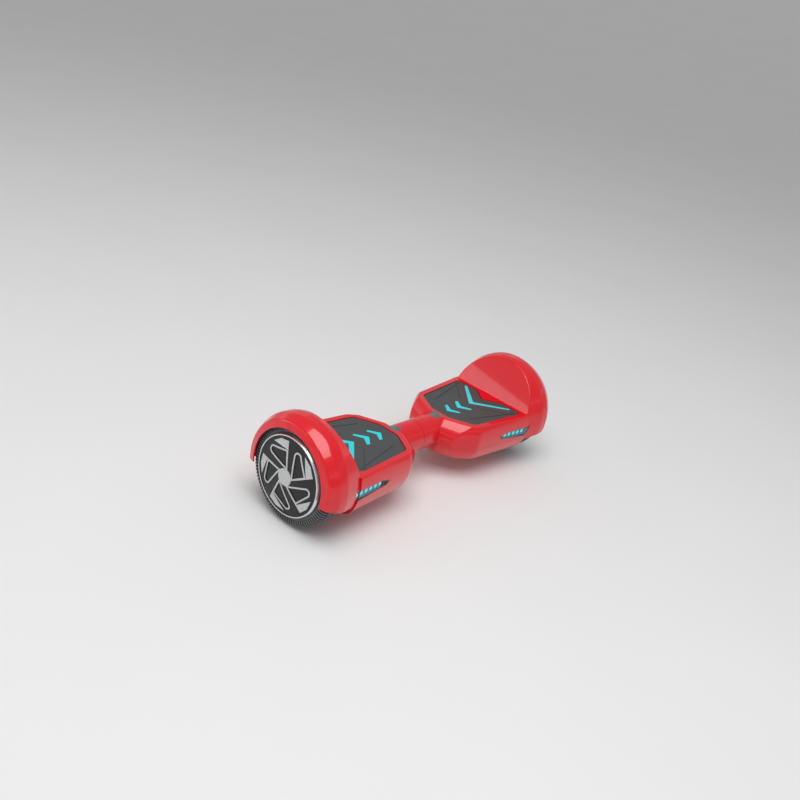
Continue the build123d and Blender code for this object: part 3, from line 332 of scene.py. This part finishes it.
def lamp_tray(sign, settings):
    """Front of the lamp tray as a height field, with how brightly each point glows: the bulbs as lamps, the
    bowls with painted light from them.

    Height = dome of the bulb inside its radius, a paraboloid bowl out to the bowl's radius, and
    flat between bowls. Glow is 1 on the bulb and falls off across the bowl.
    """
    length = settings.pitch * settings.count - 8.0 * MM
    u, v = np.meshgrid(np.linspace(-0.5, 0.5, 241) * length, np.linspace(-0.5, 0.5, 49) * tray_height)
    first = -settings.pitch * (settings.count - 1) / 2
    nearest = np.clip(np.round((u - first) / settings.pitch), 0, settings.count - 1)
    reach = np.hypot(u - (first + nearest * settings.pitch), v)
    bowl_depth, bulb_base = 3.2 * MM, 2.2 * MM
    bowl = -bowl_depth * np.clip(1.0 - (reach / settings.bowl_radius) ** 2, 0.0, None)
    dome = np.sqrt(np.clip(settings.bulb_radius**2 - reach**2, 0.0, None)) * 0.9 - bulb_base
    relief = np.where(reach < settings.bulb_radius, np.maximum(dome, bowl), bowl)
    glow = 1.0 - smoothstep(reach, 0.75 * settings.bulb_radius, 1.05 * settings.bowl_radius)
    centre, along, up, outward = lamp_frame(sign)
    base = centre - outward * tray_setback
    points = base + u[..., None] * along + v[..., None] * up + relief[..., None] * outward
    return points, glow, outward


class BOARD_OT_lamps(bpy.types.Operator):
    """Build the lamp tray behind each headlight lens, with a bowl and a bulb for each lamp"""

    bl_idname = "board.lamps"
    bl_label = "Build headlight lamps"

    def execute(self, context):
        settings = context.scene.board_lamp
        for side, sign in SIDES.items():
            front, glow, outward = lamp_tray(sign, settings)
            rows, columns = front.shape[:2]
            plane_depth = ((front - front[0, 0]) @ outward)[..., None]
            back = front - (plane_depth + tray_depth) * outward
            points = np.concatenate([front, back[::-1]])
            glows = np.concatenate([glow, 0 * glow])
            quads = grid_faces(2 * rows, columns, True, False)
            left = np.arange(rows) * columns
            right = left + columns - 1
            left_back = (2 * rows - 1 - np.arange(rows)) * columns
            right_back = left_back + columns - 1
            first = np.stack([left[:-1], left[1:], left_back[1:], left_back[:-1]], axis=1)
            last = np.stack([right[1:], right[:-1], right_back[:-1], right_back[1:]], axis=1)
            quads = np.concatenate([quads, first, last])
            tray = new_piece(f"{side}_lamp_tray", points.reshape(-1, 3), quads, {"glow": glows})
            tray.data.materials.append(finish("lamp_tray"))
            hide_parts(f"{side}_headlight_board")
            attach(tray, f"{side}_half")
        return {"FINISHED"}


# ---------------------------------------------------------------- finishes
class Value:
    """One shader socket. Arithmetic on it adds Math nodes to its material."""

    def __init__(self, tree, socket):
        self.tree = tree
        self.socket = socket

    def math(self, operation, *terms):
        return self.tree.add("ShaderNodeMath", {"operation": operation}, dict(enumerate(terms)))

    def __add__(self, other):
        return self.math("ADD", self, other)

    def __radd__(self, other):
        return self.math("ADD", other, self)

    def __sub__(self, other):
        return self.math("SUBTRACT", self, other)

    def __rsub__(self, other):
        return self.math("SUBTRACT", other, self)

    def __mul__(self, other):
        return self.math("MULTIPLY", self, other)

    def __rmul__(self, other):
        return self.math("MULTIPLY", other, self)

    def __pow__(self, other):
        return self.math("POWER", self, other)

    def sine(self):
        """Sine of the value, from -1 to 1."""
        return self.math("SINE", self)

    def step(self, low, high):
        """0 below low, 1 above high and an S-curve between them."""
        settings = {"interpolation_type": "SMOOTHSTEP"}
        inputs = {"Value": self, "From Min": low, "From Max": high}
        return self.tree.add("ShaderNodeMapRange", settings, inputs)


class Finish:
    """One procedural material, with its nodes added by one method."""

    def __init__(self, name, **shader_values):
        self.material = bpy.data.materials.new(name)
        self.material.use_nodes = True
        self.tree = self.material.node_tree
        self.shader = self.tree.nodes["Principled BSDF"]
        for key, value in shader_values.items():
            self.shader.inputs[key.replace("_", " ").title().replace("Ior", "IOR")].default_value = value

    def add(self, kind, settings=None, inputs=None, output=0):
        """Add a node, with its settings first and then its sockets' values or links."""
        node = self.tree.nodes.new(kind)
        for key, value in (settings or {}).items():
            if key == "ramp":
                self.fill_ramp(node.color_ramp, value)
            else:
                setattr(node, key, value)
        for key, value in (inputs or {}).items():
            self.join(value, node.inputs[key])
        return Value(self, node.outputs[output])

    def fill_ramp(self, ramp, stops):
        """Set a colour ramp's stops from (place, colour) pairs."""
        while len(ramp.elements) < len(stops):
            ramp.elements.new(0.5)
        for element, (place, colour) in zip(ramp.elements, stops):
            element.position = place
            element.color = (*colour, 1.0)

    def join(self, value, socket):
        """Link a value to a socket, or set the socket where the value is a plain one."""
        if isinstance(value, Value):
            self.tree.links.new(value.socket, socket)
        elif socket.type == "RGBA" and len(value) == 3:
            socket.default_value = (*value, 1.0)
        else:
            socket.default_value = value

    def feed(self, name, value):
        """Link or set one of the shader's own sockets."""
        self.join(value, self.shader.inputs[name])

    def place(self):
        """Object coordinates, which are the board's own frame in metres."""
        return self.add("ShaderNodeTexCoord", output="Object")

    def axis(self, name):
        """One coordinate of the place."""
        return self.add("ShaderNodeSeparateXYZ", None, {0: self.place()}, output=name)

    def noise(self, scale, detail=2.0, roughness=0.5, stretch=None):
        """Noise from 0 to 1, with a scale in features per metre, stretched along an axis if asked."""
        where = self.place()
        if stretch:
            where = self.add("ShaderNodeMapping", None, {"Vector": where, "Scale": stretch})
        inputs = {"Vector": where, "Scale": scale, "Detail": detail, "Roughness": roughness}
        return self.add("ShaderNodeTexNoise", None, inputs)

    def cells(self, scale, feature="F1"):
        """Distance to the nearest of many scattered points."""
        inputs = {"Vector": self.place(), "Scale": scale}
        return self.add("ShaderNodeTexVoronoi", {"feature": feature}, inputs)

    def blend(self, factor, first, second):
        """A colour mixed from two by a factor."""
        return self.add("ShaderNodeMix", {"data_type": "RGBA"}, {0: factor, 6: first, 7: second}, 2)

    def bump(self, height, distance, strength=1.0):
        """A bump from a height between 0 and 1 and its depth in metres."""
        inputs = {"Height": height, "Distance": distance, "Strength": strength}
        self.feed("Normal", self.add("ShaderNodeBump", None, inputs))

    def axle_radius(self):
        """Distance from the wheels' axle line."""
        return (self.axis("Y") ** 2.0 + (self.axis("Z") - float(wheel_centre[2])) ** 2.0) ** 0.5


def shade(colour, factor):
    """A colour made lighter or darker."""
    return tuple(min(1.0, channel * factor) for channel in colour)


def shell_finish(settings):
    """Glossy moulded plastic: a slight ripple, fine haze and scuffs towards the floor."""
    red = tuple(settings.shell)
    paint = Finish("shell_red", coat_weight=0.8, coat_roughness=0.03, coat_ior=1.5, specular_ior_level=0.3)
    drift = paint.noise(9.0, 3.0)
    low = 1.0 - paint.axis("Z").step(0.035, 0.06)
    scuffs = paint.noise(420.0, 6.0, 0.7, (1.0, 0.25, 1.0)).step(0.64, 0.76) * low
    colour = paint.blend(drift, shade(red, 0.94), shade(red, 1.05))
    colour = paint.blend(scuffs * 0.25, colour, (0.55, 0.12, 0.11))
    paint.feed("Base Color", colour)
    haze = paint.noise(160.0, 5.0, 0.6)
    paint.feed("Roughness", 0.26 + haze * 0.06 + scuffs * 0.15)
    paint.bump(paint.noise(24.0, 2.0), 0.00012, 0.4)
    return paint


def tyre_finish(settings):
    """Dark grey rubber with fine grain, dust on the tread, and painted shade that darkens the gaps between
    the ribs and the grooves.
    """
    rubber = Finish("tyre", specular_ior_level=0.35)
    radius = rubber.axle_radius()
    crown = radius.step(wheel_radius - 1.5 * MM, wheel_radius + 1.5 * MM)
    dust = crown * rubber.noise(60.0, 5.0, 0.65).step(0.35, 0.7)
    worn = rubber.blend(rubber.noise(45.0, 4.0), (0.12, 0.12, 0.13), (0.17, 0.17, 0.18))
    dusty = rubber.blend(dust * 0.3, worn, (0.17, 0.165, 0.16))
    cut = rubber.add("ShaderNodeAttribute", {"attribute_name": "cut"}, output="Fac")
    # Deep cuts turn near black: painted shade in the gaps between ribs, in the grooves and in the sipes.
    rubber.feed("Base Color", rubber.blend(cut.step(0.1, 0.7), dusty, (0.010, 0.010, 0.011)))
    rubber.feed("Roughness", 0.62 + rubber.noise(900.0, 3.0) * 0.25)
    rubber.bump(rubber.noise(2400.0, 3.0, 0.6), 0.00012, 0.6)
    return rubber


def rim_finish(settings):
    """Machined aluminium with fine turning marks round the axle."""
    metal = Finish("rim_metal", metallic=1.0)
    rings = (metal.axle_radius() * 9000.0).sine()
    tone = metal.noise(70.0, 4.0)
    metal.feed("Base Color", metal.blend(tone, (0.66, 0.67, 0.68), (0.80, 0.81, 0.82)))
    metal.feed("Roughness", 0.22 + rings * 0.05 + tone * 0.1)
    metal.bump(rings, 0.00002, 0.4)
    return metal


def hubcap_finish(settings):
    """Fine-textured black plastic."""
    plastic = Finish("hubcap_black", specular_ior_level=0.45)
    grain = plastic.noise(1900.0, 3.0, 0.6)
    tone = plastic.noise(120.0, 4.0)
    plastic.feed("Base Color", plastic.blend(tone, (0.006, 0.006, 0.007), (0.013, 0.013, 0.014)))
    plastic.feed("Roughness", 0.36 + grain * 0.25)
    plastic.bump(grain, 0.00016, 0.7)
    return plastic


def trim_finish(settings):
    """Silver paint with metal flakes."""
    silver = Finish("trim_silver", metallic=0.55, coat_weight=0.3, coat_roughness=0.15)
    flakes = silver.cells(2600.0)
    tone = silver.noise(900.0, 3.0, 0.7)
    colour = silver.blend(tone.step(0.35, 0.65), (0.42, 0.43, 0.44), (0.70, 0.71, 0.72))
    silver.feed("Base Color", silver.blend(flakes.step(0.0, 0.28), (0.95, 0.96, 0.97), colour))
    silver.feed("Roughness", 0.30 + tone * 0.2)
    silver.bump(flakes, 0.00004, 0.4)
    return silver


def pad_finish(settings):
    """Dark grey rubber with a pebbled grain and a roughness that varies a little over it."""
    grey = tuple(settings.pad)
    rubber = Finish("pad_rubber", specular_ior_level=0.5)
    pebbles = rubber.cells(1500.0, "SMOOTH_F1")
    tone = rubber.noise(28.0, 5.0, 0.6)
    rubber.feed("Base Color", rubber.blend(tone, shade(grey, 0.82), shade(grey, 1.2)))
    rubber.feed("Roughness", 0.42 + tone * 0.14 + pebbles * 0.12)
    rubber.bump(pebbles, 0.00014, 0.6)
    return rubber


def light_finish(settings):
    """Frosted light guide, faintly clouded."""
    glow = tuple(settings.glow)
    guide = Finish("light_guide", coat_weight=0.4, coat_roughness=0.1, emission_strength=0.22)
    cloud = guide.noise(110.0, 3.0)
    guide.feed("Base Color", guide.blend(cloud, shade(glow, 0.85), glow))
    guide.feed("Emission Color", guide.blend(cloud, shade(glow, 0.8), (0.0, 0.75, 0.82)))
    guide.feed("Roughness", 0.3 + cloud * 0.12)
    guide.bump(guide.noise(1400.0, 2.0), 0.00003, 0.4)
    return guide


def tray_finish(settings):
    """Teal tray with glowing bulbs; the light the bowls catch from them is painted in as glow, and the flat
    tray glows faintly as painted light too.
    """
    tray = Finish("lamp_tray", metallic=0.3, emission_strength=1.0)
    glow = tray.add("ShaderNodeAttribute", {"attribute_name": "glow"}, output="Fac")
    tone = tray.noise(500.0, 3.0)
    # The base colour is lighter across each bowl by the glow mask: a painted reflection of the bulb.
    tray.feed("Base Color", tray.blend(glow, (0.006, 0.10, 0.12), (0.10, 0.70, 0.75)))
    ramp = [
        (0.0, (0.0, 0.20, 0.26)),
        (0.4, (0.0, 0.35, 0.45)),
        (0.8, (0.02, 0.62, 0.78)),
        (1.0, (0.3, 0.9, 1.0)),
    ]
    # Emission is lamp light on the bulbs; across the bowls and as the faint teal over the flat tray it is
    # painted light.
    tray.feed("Emission Color", tray.add("ShaderNodeValToRGB", {"ramp": ramp}, {"Fac": glow}))
    tray.feed("Roughness", 0.2 + tone * 0.2)
    tray.bump(tone, 0.00003, 0.4)
    return tray


def lens_finish(settings):
    """Clear smoked teal lens with a slight haze."""
    lens = Finish("lens", coat_weight=1.0, coat_roughness=0.02, specular_ior_level=0.6)
    haze = lens.noise(240.0, 3.0)
    lens.feed("Base Color", lens.blend(haze, (0.004, 0.030, 0.034), (0.008, 0.045, 0.050)))
    lens.feed("Alpha", 0.26 + haze * 0.04)
    lens.feed("Roughness", 0.04 + haze * 0.04)
    return lens


def window_finish(settings):
    """Smoked glossy window over the status lights."""
    window = Finish("window_grey", coat_weight=1.0, coat_roughness=0.08)
    haze = window.noise(180.0, 4.0)
    window.feed("Base Color", window.blend(haze, (0.09, 0.09, 0.092), (0.15, 0.15, 0.15)))
    window.feed("Roughness", 0.16 + haze * 0.12)
    window.bump(haze, 0.00004, 0.4)
    return window


def metal_finish(name, dark, light, rough, grain, depth, stretch=None):
    """Bare metal: two tones and a grain that also shows in its relief."""
    metal = Finish(name, metallic=1.0)
    texture = metal.noise(grain, 4.0, 0.6, stretch)
    metal.feed("Base Color", metal.blend(texture, dark, light))
    metal.feed("Roughness", rough - 0.06 + texture * 0.14)
    metal.bump(texture, depth, 0.6)
    return metal


def plain_finish(name, dark, light, rough, grain, depth):
    """Plastic or rubber: two tones and a moulded grain."""
    plastic = Finish(name)
    texture = plastic.noise(grain, 4.0, 0.6)
    plastic.feed("Base Color", plastic.blend(texture, dark, light))
    plastic.feed("Roughness", rough - 0.06 + texture * 0.14)
    plastic.bump(texture, depth, 0.5)
    return plastic


def sheets_finish(settings):
    """Stacked electrical steel: thin sheets seen edge on."""
    iron = Finish("stator_iron", metallic=0.9)
    sheets = (iron.axis("X") * 12000.0).sine()
    iron.feed("Base Color", iron.blend(sheets.step(-0.4, 0.6), (0.05, 0.05, 0.055), (0.20, 0.20, 0.21)))
    iron.feed("Roughness", 0.4 + iron.noise(300.0) * 0.2)
    iron.bump(sheets, 0.00005, 0.6)
    return iron


def winding_finish(settings):
    """Enamelled copper wire laid side by side, with painted shade in the valleys between wires and a painted
    sheen on their crowns.
    """
    copper = Finish("copper_winding", metallic=0.85, coat_weight=0.5, coat_roughness=0.1)
    wire_height_and_shade = (copper.axle_radius() * 7000.0).sine()
    # The colour follows each wire's rounded relief: painted shade in the valleys between wires, painted
    # highlight on their crowns.
    copper.feed("Base Color", copper.blend(wire_height_and_shade.step(-0.6, 0.8), (0.16, 0.045, 0.012), (0.60, 0.24, 0.09)))
    copper.feed("Roughness", 0.26 + copper.noise(400.0) * 0.14)
    copper.bump(wire_height_and_shade, 0.00012, 0.8)
    return copper


def board_finish(settings):
    """Circuit board: green solder mask with paler tracks."""
    board = Finish("circuit_board", coat_weight=0.4, coat_roughness=0.1)
    tracks = board.cells(260.0, "DISTANCE_TO_EDGE").step(0.02, 0.06)
    tone = board.noise(90.0, 3.0)
    mask = board.blend(tone, (0.004, 0.060, 0.022), (0.010, 0.105, 0.040))
    board.feed("Base Color", board.blend(tracks, (0.03, 0.22, 0.09), mask))
    board.feed("Roughness", 0.3 + tone * 0.15)
    board.bump(tracks, 0.00003, 0.6)
    return board


def wrap_finish(settings):
    """Shrink wrap: glossy blue film with fine wrinkles."""
    film = Finish("battery_wrap", coat_weight=0.6, coat_roughness=0.12)
    folds = film.noise(70.0, 5.0, 0.55, (0.25, 1.0, 1.0))
    film.feed("Base Color", film.blend(folds, (0.010, 0.045, 0.20), (0.022, 0.095, 0.36)))
    film.feed("Roughness", 0.2 + folds * 0.15)
    film.bump(folds, 0.0006, 0.5)
    return film


FINISHES = {
    "shell_red": shell_finish,
    "tyre": tyre_finish,
    "rim_metal": rim_finish,
    "hubcap_black": hubcap_finish,
    "trim_silver": trim_finish,
    "pad_rubber": pad_finish,
    "light_guide": light_finish,
    "lamp_tray": tray_finish,
    "lens": lens_finish,
    "window_grey": window_finish,
    "stator_iron": sheets_finish,
    "copper_winding": winding_finish,
    "circuit_board": board_finish,
    "battery_wrap": wrap_finish,
}
# dark tone, light tone, roughness, grain in features per metre, depth of its relief in metres, stretch
METALS = {
    "cast_aluminium": ((0.42, 0.43, 0.44), (0.60, 0.61, 0.62), 0.48, 700.0, 0.00015),
    "zinc_steel": ((0.50, 0.51, 0.50), (0.70, 0.70, 0.68), 0.32, 300.0, 0.00004),
    "axle_steel": ((0.40, 0.40, 0.41), (0.58, 0.58, 0.59), 0.28, 900.0, 0.00003, (1.0, 0.06, 0.06)),
    "magnet": ((0.40, 0.41, 0.42), (0.55, 0.56, 0.57), 0.22, 200.0, 0.00003),
    "bearing_steel": ((0.55, 0.55, 0.56), (0.72, 0.72, 0.73), 0.18, 500.0, 0.00002),
}
# dark tone, light tone, roughness, grain in features per metre, depth of its relief in metres
PLAINS = {
    "lead_rubber": ((0.012, 0.012, 0.013), (0.028, 0.028, 0.030), 0.55, 1200.0, 0.00008),
    "bush_plastic": ((0.70, 0.69, 0.64), (0.82, 0.81, 0.77), 0.35, 600.0, 0.00003),
    "socket_plastic": ((0.012, 0.012, 0.013), (0.026, 0.026, 0.028), 0.40, 1500.0, 0.00006),
    "cap_rubber": ((0.018, 0.018, 0.019), (0.040, 0.040, 0.042), 0.60, 1300.0, 0.00010),
    "button_plastic": ((0.030, 0.030, 0.032), (0.055, 0.055, 0.058), 0.22, 400.0, 0.00003),
}
made = {}


def finish(name):
    """The material of that name, made the first time it is asked for."""
    if name not in made:
        if name in FINISHES:
            made[name] = FINISHES[name](bpy.context.scene.board_finish).material
        elif name in METALS:
            made[name] = metal_finish(name, *METALS[name]).material
        else:
            made[name] = plain_finish(name, *PLAINS[name]).material
    return made[name]


class BOARD_OT_finishes(bpy.types.Operator):
    """Give every CAD part the material of its slot"""

    bl_idname = "board.finishes"
    bl_label = "Finish the CAD parts"

    def execute(self, context):
        for part in frame["record"]["subparts"]:
            mesh = frame["nodes"][part["node"]].data
            mesh.materials.clear()
            mesh.materials.append(finish(part["material_slot"]))
        return {"FINISHED"}


# ---------------------------------------------------------------- stage
def floor_finish():
    """Pale matt floor with a faint mottle."""
    floor = Finish("floor", roughness=0.7, specular_ior_level=0.2)
    tone = floor.noise(3.0, 3.0)
    floor.feed("Base Color", floor.blend(tone, (0.80, 0.80, 0.80), (0.84, 0.84, 0.84)))
    return floor.material


def floor_points(count=81, half=16.0, flat=5.0):
    """Square grid of the floor: flat close by, then rising as the square of the distance beyond."""
    x, y = np.meshgrid(np.linspace(-half, half, count), np.linspace(-half, half, count))
    height = 0.03 * np.clip(np.hypot(x, y) - flat, 0.0, None) ** 2
    return np.stack([x, y, height], axis=-1)


def camera_axes(settings):
    """The camera's right, up and backward directions from its azimuth, elevation and roll."""
    a, e, r = settings.azimuth, settings.elevation, settings.roll
    back = Vector((sin(a) * cos(e), -cos(a) * cos(e), sin(e)))
    right = Vector((0, 0, 1)).cross(back).normalized()
    up = back.cross(right)
    return right * cos(r) + up * sin(r), up * cos(r) - right * sin(r), back


def add_light(name, place, target, size, power, colour=(1.0, 1.0, 1.0)):
    """A rectangular softbox at a place, facing a target."""
    lamp = bpy.data.lights.new(name, "AREA")
    lamp.shape = "RECTANGLE"
    lamp.size, lamp.size_y = size
    lamp.energy = power
    lamp.color = colour
    holder = bpy.data.objects.new(name, lamp)
    aim = Vector(target) - Vector(place)
    holder.matrix_world = Matrix.Translation(place) @ aim.to_track_quat("-Z", "Y").to_matrix().to_4x4()
    bpy.context.scene.collection.objects.link(holder)


def sky(context):
    """A world that is bright near the horizon and dimmer overhead, by the direction's height."""
    world = context.scene.world or bpy.data.worlds.new("studio")
    context.scene.world = world
    world.use_nodes = True
    tree = world.node_tree
    place = tree.nodes.new("ShaderNodeTexCoord")
    split = tree.nodes.new("ShaderNodeSeparateXYZ")
    ramp = tree.nodes.new("ShaderNodeValToRGB")
    tree.links.new(place.outputs["Generated"], split.inputs[0])
    tree.links.new(split.outputs["Z"], ramp.inputs["Fac"])
    tree.links.new(ramp.outputs["Color"], tree.nodes["Background"].inputs["Color"])
    levels = [(0.0, 0.85), (0.26, 0.85), (0.44, 0.35), (1.0, 0.45)]
    while len(ramp.color_ramp.elements) < len(levels):
        ramp.color_ramp.elements.new(0.5)
    for stop, (height, level) in zip(ramp.color_ramp.elements, levels):
        stop.position = height
        stop.color = (level, level, level, 1.0)


class BOARD_OT_stage(bpy.types.Operator):
    """Lay the floor, set the lights and place the camera"""

    bl_idname = "board.stage"
    bl_label = "Set the stage"

    def execute(self, context):
        settings = context.scene.board_stage
        points = floor_points()
        floor = new_piece("floor", points.reshape(-1, 3), grid_faces(*points.shape[:2], False, False))
        floor.data.materials.append(floor_finish())
        middle = (0.0, 0.0, 0.09)
        add_light("key_softbox", (-0.8, -0.6, 2.6), middle, (2.0, 2.0), settings.key_power)
        add_light("back_softbox", (-2.6, 2.0, 0.6), middle, (2.2, 0.7), settings.key_power * 0.2)
        sky(context)
        context.scene.view_settings.view_transform = "Standard"
        self.place_camera(context, settings)
        return {"FINISHED"}

    def place_camera(self, context, settings):
        """A camera on its line of sight, turned by the roll, with a 36 mm sensor."""
        right, up, back = camera_axes(settings)
        target = Vector((-0.0552, 0.0, 0.16243))
        lens = bpy.data.cameras.new("camera")
        lens.sensor_width = 36.0
        lens.lens = 43.32
        lens.dof.use_dof = False
        camera = bpy.data.objects.new("camera", lens)
        turn = Matrix((right, up, back)).transposed().to_4x4()
        camera.matrix_world = Matrix.Translation(target + back * settings.distance) @ turn
        context.scene.collection.objects.link(camera)
        context.scene.camera = camera


# ---------------------------------------------------------------- panel and registration
class BOARD_PT_panel(bpy.types.Panel):
    """Sidebar panel with the board's settings and builders"""

    bl_idname = "BOARD_PT_panel"
    bl_label = "Self balancing board"
    bl_space_type = "VIEW_3D"
    bl_region_type = "UI"
    bl_category = "Board"

    def draw(self, context):
        for group, operator in SECTIONS:
            column = self.layout.column()
            settings = getattr(context.scene, group)
            for name in settings.__annotations__:
                column.prop(settings, name)
            column.operator(operator)


SECTIONS = [
    ("board_tyre", "board.tyres"),
    ("board_lamp", "board.lamps"),
    ("board_finish", "board.finishes"),
    ("board_stage", "board.stage"),
]
GROUPS = {
    "board_tyre": TyreSettings,
    "board_lamp": LampSettings,
    "board_finish": FinishSettings,
    "board_stage": StageSettings,
}
OPERATORS = [BOARD_OT_tyres, BOARD_OT_lamps, BOARD_OT_finishes, BOARD_OT_stage]


def register():
    for group in GROUPS.values():
        bpy.utils.register_class(group)
    for operator in OPERATORS:
        bpy.utils.register_class(operator)
    bpy.utils.register_class(BOARD_PT_panel)
    for name, group in GROUPS.items():
        setattr(bpy.types.Scene, name, PointerProperty(type=group))


def unregister():
    for name in GROUPS:
        delattr(bpy.types.Scene, name)
    bpy.utils.unregister_class(BOARD_PT_panel)
    for operator in reversed(OPERATORS):
        bpy.utils.unregister_class(operator)
    for group in reversed(GROUPS.values()):
        bpy.utils.unregister_class(group)


def main():
    register()
    bpy.ops.board.stage()
    bpy.ops.board.finishes()
    bpy.ops.board.tyres()
    bpy.ops.board.lamps()


if __name__ == "__main__":
    main()
